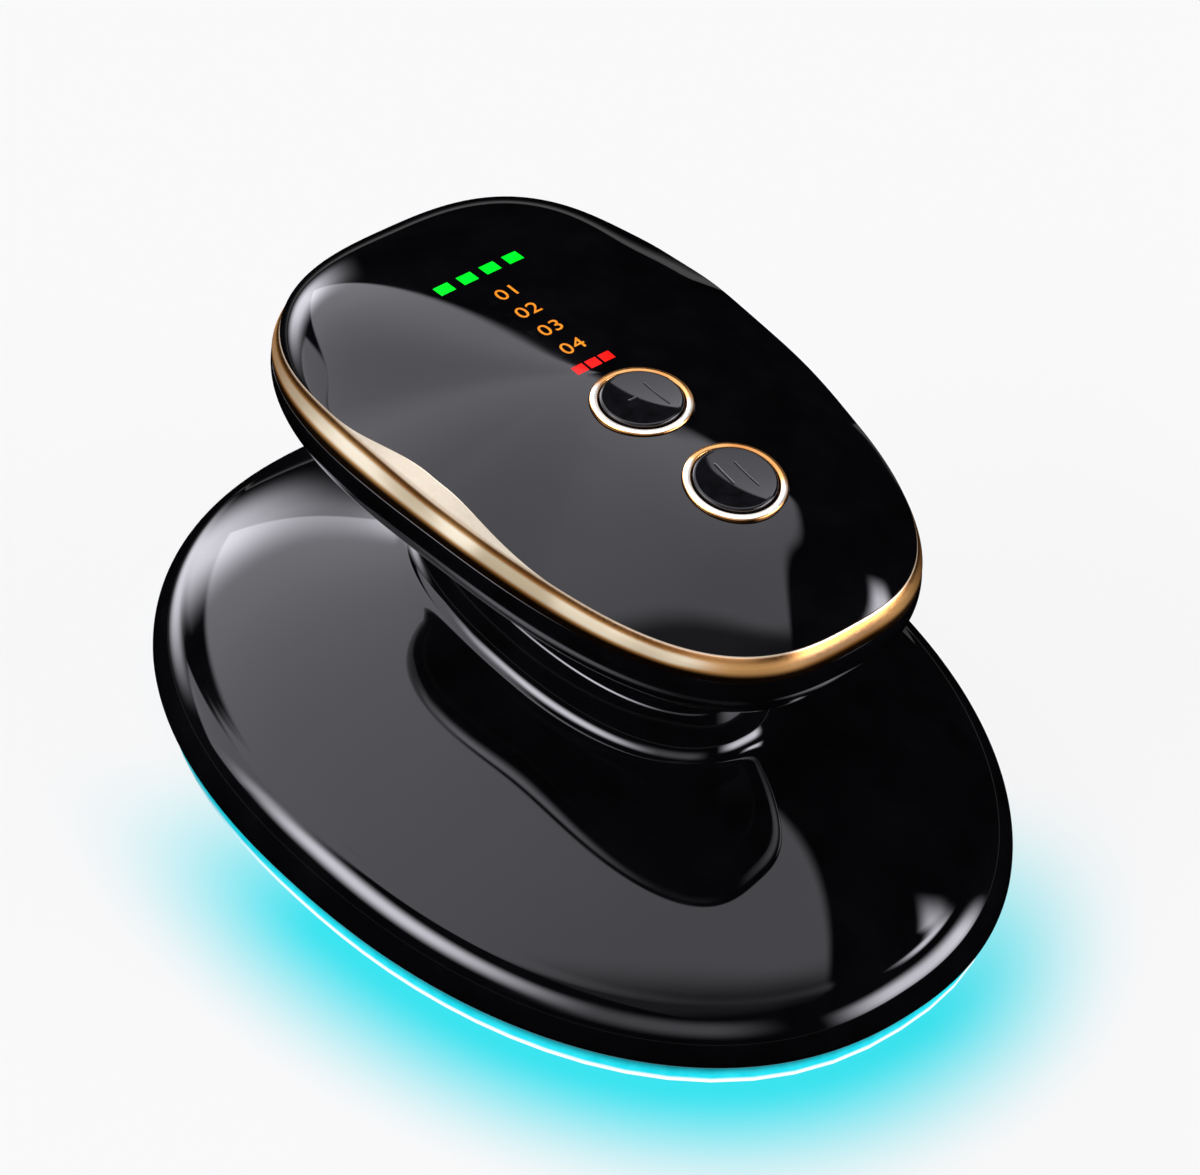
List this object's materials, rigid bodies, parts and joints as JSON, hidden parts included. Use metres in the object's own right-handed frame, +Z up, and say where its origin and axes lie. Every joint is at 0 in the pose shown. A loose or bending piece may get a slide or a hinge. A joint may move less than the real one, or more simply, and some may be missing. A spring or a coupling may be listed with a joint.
{
  "type": "body contouring device",
  "caption": "Handheld body contouring device: oval treatment head with metal electrodes and a glowing edge, neck, and mushroom grip with push buttons and indicator lights.",
  "frame": {"origin": "middle of the resting plane, under the centre of the treatment head, on the faces of the electrodes", "axes": "+Z up from the treatment face to the grip, +Y along the device towards the end of the grip with the charge lights and the charging socket, -Y towards the buttons, X across"},
  "size_m": [0.105, 0.14, 0.0723],
  "materials": {
    "gloss_black": "piano black, mirror gloss",
    "gold_plating": "rose gold plating over moulded plastic, mirror gloss",
    "button_black": "gloss",
    "green_light": "lit clear plastic",
    "orange_light": "lit smoked plastic",
    "red_light": "lit clear plastic",
    "clear_plate": "clear moulded plastic, lit from inside",
    "electrode_metal": "polished, nickel plated",
    "board_green": "solder mask",
    "board_white": "white solder mask",
    "chip_black": "moulded epoxy",
    "led_white": "ceramic body with a lens",
    "screw_steel": "zinc plated",
    "socket_steel": "drawn sheet",
    "battery_wrap": "foil pouch",
    "foam": "closed-cell foam",
    "frame_grey": "moulded, fine grain",
    "seal_rubber": "silicone",
    "contact_brass": "plain",
    "cable_grey": "flat ribbon",
    "connector_cream": "moulded",
    "ferrite": "sintered ferrite",
    "copper_wire": "enamelled copper wire",
    "plunger_plastic": "moulded"
  },
  "bodies": {
    "device": {"grip_top_shell": "gloss_black", "trim_band": "gold_plating", "grip_lower_shell": "gloss_black", "power_bezel": "gold_plating", "mode_bezel": "gold_plating", "power_switch": "socket_steel", "mode_switch": "socket_steel", "charge_light_pipe": "green_light", "mode_light_pipe": "orange_light", "level_light_pipe": "red_light", "indicator_leds": "led_white", "main_board": "board_green", "control_chip": "chip_black", "board_screws": "screw_steel", "battery": "battery_wrap", "battery_pad": "foam", "battery_cradle": "frame_grey", "charge_board": "board_green", "charge_board_screws": "screw_steel", "charging_socket": "socket_steel", "board_header": "contact_brass", "ribbon_cable": "cable_grey", "cable_connectors": "connector_cream", "neck_screws": "screw_steel", "head_housing": "gloss_black", "plate_seal": "seal_rubber", "treatment_plate": "clear_plate", "outer_electrodes": "electrode_metal", "centre_electrode": "electrode_metal", "electrode_nuts": "contact_brass", "light_board": "board_white", "treatment_leds": "led_white", "edge_leds": "led_white", "transformer_core": "ferrite", "transformer_winding": "copper_wire"},
    "power_key": {"power_button": "button_black", "power_plunger": "plunger_plastic"},
    "mode_key": {"mode_button": "button_black", "mode_plunger": "plunger_plastic"}
  },
  "joints": [
    {"name": "power_press", "type": "slide", "parent": "device", "child": "power_key", "axis": [0, 0, -1], "range_m": [0, 0.0005], "stiffness_N_per_m": 1200, "springref_m": -0.0004},
    {"name": "mode_press", "type": "slide", "parent": "device", "child": "mode_key", "axis": [0, 0, -1], "range_m": [0, 0.0005], "stiffness_N_per_m": 1200, "springref_m": -0.0004}
  ]
}
